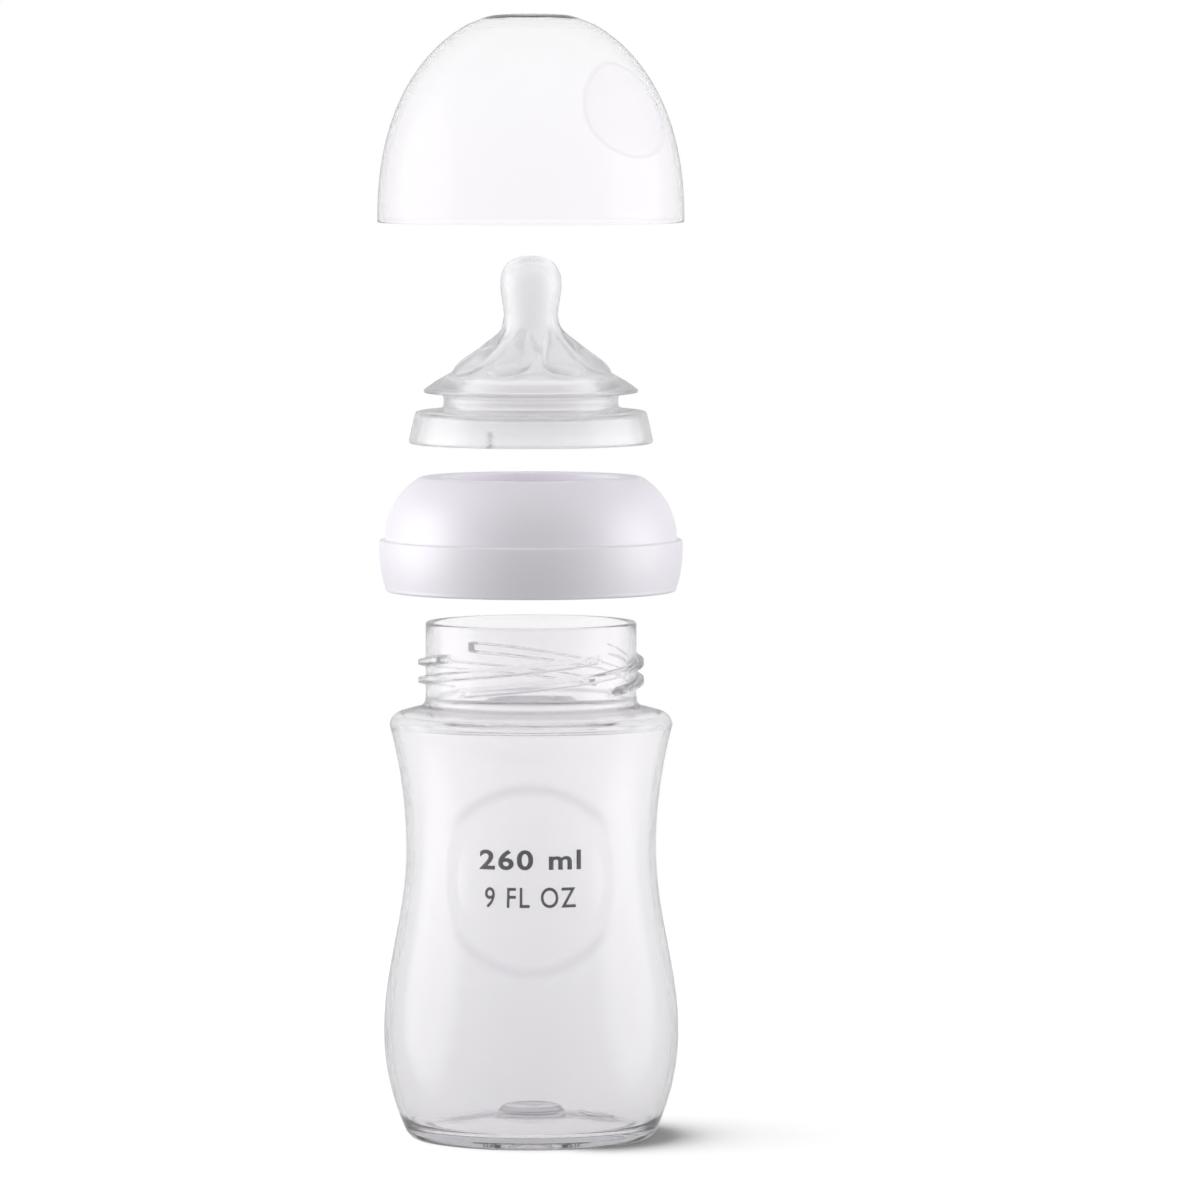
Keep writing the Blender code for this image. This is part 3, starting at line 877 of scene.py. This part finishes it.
def dimple(angles, height):
    """Depth of the oval thumb dimple, a shallow dish."""
    across = ((np.degrees(angles) - DIMPLE_ANGLE + 180) % 360 - 180) / DIMPLE_HALF_ANGLE
    up = (height - DIMPLE_HEIGHT) / DIMPLE_HALF_HEIGHT
    return DIMPLE_DEPTH * np.clip(1 - across ** 2 - up ** 2, 0, 1) ** 1.5


def outer_dimple(angles, radius, height):
    return -dimple(angles, height)


def inner_dimple(angles, radius, height):
    return dimple(angles, height)


def make_cap(material):
    """The translucent dome with its thumb dimple."""
    inner_top = CAP_HEIGHT - CAP_TOP_WALL
    inner_apex = CAP_APEX - CAP_TOP_WALL
    inner_rim = CAP_RADIUS - CAP_WALL
    outside, inside = [], []
    for angle in evenly(90, 1, CAP_ROWS):
        share = math.sin(math.radians(angle))
        outside.append((dome_radius(CAP_HEIGHT * share, CAP_RADIUS, CAP_APEX), CAP_HEIGHT * share))
        inside.append((dome_radius(inner_top * share, inner_rim, inner_apex), inner_top * share))
    outside = [point for point in outside if point[0] > CROWN_RADIUS]
    inside = [point for point in inside if point[0] > CROWN_RADIUS - CAP_WALL]
    top = curve([*crown(CAP_HEIGHT), outside[0]])
    rim = [
        *arc((CAP_RADIUS - 0.3 * MM, 0.3 * MM), (0.3 * MM, 0.3 * MM), 0, -90, 5),
        *arc((inner_rim + 0.3 * MM, 0.3 * MM), (0.3 * MM, 0.3 * MM), -90, -180, 5),
    ]
    inner_crown = curve([inside[0], *reversed(crown(inner_top))])
    runs = [
        (top, None), (outside[1:], outer_dimple), (rim, None),
        (inside[::-1], inner_dimple), (inner_crown, None),
    ]
    # The outline runs from the top down, so it is turned over to keep its faces outwards.
    runs = [(points[::-1], relief) for points, relief in reversed(runs)]
    piece = turned("cap_moulding", runs, CLEAR_SIDES, base_of("cap"))
    return place(piece, "cap", "frosted_plastic", material, "cap")


# ---------------------------------------------------------------- studio


def make_floor(bottle):
    """A pale floor that fades into the white surroundings, with a lamp of its own for the soft shadow."""
    mesh = bpy.data.meshes.new("floor")
    grid = bmesh.new()
    bmesh.ops.create_circle(grid, cap_ends=True, cap_tris=False, segments=96, radius=1.2)
    grid.to_mesh(mesh)
    grid.free()
    floor = bpy.data.objects.new("floor", mesh)
    floor.location.z = -0.0001
    floor.visible_diffuse = False
    floor.visible_glossy = False
    floor.visible_transmission = False
    bpy.context.scene.collection.objects.link(floor)
    nodes = Nodes("floor")
    nodes.set(Base_Color=(0.3, 0.3, 0.3, 1), Roughness=0.9, Specular_IOR_Level=0.1)
    distance = nodes.add("ShaderNodeVectorMath", operation="LENGTH")
    nodes.link(nodes.place, distance.inputs[0])
    fade = nodes.add("ShaderNodeMapRange", interpolation_type="SMOOTHSTEP")
    fade.inputs["From Min"].default_value = 0.15
    fade.inputs["From Max"].default_value = 0.9
    fade.inputs["To Min"].default_value = 1
    fade.inputs["To Max"].default_value = 0
    nodes.link(distance.outputs["Value"], fade.inputs["Value"])
    nodes.link(fade.outputs["Result"], nodes.shader.inputs["Alpha"])
    mesh.materials.append(nodes.material)
    lit = bpy.data.collections.new("floor_only")
    lit.objects.link(floor)
    blocking = bpy.data.collections.new("bottle_only")
    blocking.objects.link(bottle)
    sun = bpy.data.lights.new("floor_sun", "SUN")
    sun.energy = 11.4
    sun.angle = math.radians(72)
    lamp = bpy.data.objects.new("floor_sun", sun)
    lamp.rotation_euler = Vector((1, 0.12, -1.2)).to_track_quat("-Z", "Y").to_euler()
    lamp.light_linking.receiver_collection = lit
    lamp.light_linking.blocker_collection = blocking
    bpy.context.scene.collection.objects.link(lamp)


SOFTBOXES = (
    # azimuth right of the front, elevation, half-angle, brightness
    (-90, 6, 26, 4.25),
    (88, 6, 26, 3.3),
    (0, 85, 24, 0.5),
    (180, 6, 30, 0.9),
)
AMBIENT = 0.45
REFLECTED_SHARE = 0.42
BACKDROP = 1.0


def make_world():
    """White surroundings: soft pools of light at the left, right and top over an even glow."""
    world = bpy.data.worlds.new("studio")
    bpy.context.scene.world = world
    world.use_nodes = True
    tree = world.node_tree
    background = tree.nodes["Background"]
    background.inputs["Color"].default_value = (1, 1, 1, 1)
    direction = tree.nodes.new("ShaderNodeTexCoord").outputs["Generated"]
    total = None
    for azimuth, elevation, half_angle, brightness in SOFTBOXES:
        turn, climb = math.radians(azimuth), math.radians(elevation)
        towards = (math.sin(turn) * math.cos(climb), -math.cos(turn) * math.cos(climb), math.sin(climb))
        toward = tree.nodes.new("ShaderNodeVectorMath")
        toward.operation = "DOT_PRODUCT"
        toward.inputs[1].default_value = towards
        tree.links.new(direction, toward.inputs[0])
        glow = tree.nodes.new("ShaderNodeMapRange")
        glow.interpolation_type = "SMOOTHSTEP"
        glow.inputs["From Min"].default_value = math.cos(math.radians(half_angle * 1.35))
        glow.inputs["From Max"].default_value = math.cos(math.radians(half_angle * 0.5))
        glow.inputs["To Max"].default_value = brightness
        tree.links.new(toward.outputs["Value"], glow.inputs["Value"])
        if total is None:
            glow.inputs["To Min"].default_value = AMBIENT
            glow.inputs["To Max"].default_value = AMBIENT + brightness
            total = glow.outputs["Result"]
            continue
        more = tree.nodes.new("ShaderNodeMath")
        tree.links.new(total, more.inputs[0])
        tree.links.new(glow.outputs["Result"], more.inputs[1])
        total = more.outputs["Value"]
    path = tree.nodes.new("ShaderNodeLightPath")
    dim = tree.nodes.new("ShaderNodeMapRange")
    dim.inputs["To Min"].default_value = 1.0
    dim.inputs["To Max"].default_value = REFLECTED_SHARE
    tree.links.new(path.outputs["Is Glossy Ray"], dim.inputs["Value"])
    lit = tree.nodes.new("ShaderNodeMath")
    lit.operation = "MULTIPLY"
    tree.links.new(total, lit.inputs[0])
    tree.links.new(dim.outputs["Result"], lit.inputs[1])
    seen = tree.nodes.new("ShaderNodeMath")
    seen.operation = "MAXIMUM"
    tree.links.new(path.outputs["Is Camera Ray"], seen.inputs[0])
    tree.links.new(path.outputs["Is Transmission Ray"], seen.inputs[1])
    choose = tree.nodes.new("ShaderNodeMix")
    choose.inputs["B"].default_value = BACKDROP
    tree.links.new(seen.outputs["Value"], choose.inputs["Factor"])
    tree.links.new(lit.outputs["Value"], choose.inputs["A"])
    tree.links.new(choose.outputs["Result"], background.inputs["Strength"])


def make_camera():
    """A long lens a little above the object, framed as a catalogue picture."""
    distance = 2.0
    elevation = math.radians(3.8)
    aim = Vector((0.0157, 0, 0.1227))
    frame_height = 0.2732
    data = bpy.data.cameras.new("camera")
    data.sensor_width = 36
    data.lens = data.sensor_width * distance / frame_height
    camera = bpy.data.objects.new("camera", data)
    camera.location = aim + Vector((0, -math.cos(elevation), math.sin(elevation))) * distance
    camera.rotation_euler = (aim - camera.location).to_track_quat("-Z", "Y").to_euler()
    bpy.context.scene.collection.objects.link(camera)
    bpy.context.scene.camera = camera


# ---------------------------------------------------------------- scene

clear = clear_plastic()
bottle = make_bottle(clear)
make_print(grey_print())
make_ring(white_plastic())
make_teat(silicone())
make_cap(frosted_plastic())
make_floor(bottle)
make_world()
make_camera()
bpy.context.scene.view_settings.view_transform = "Standard"
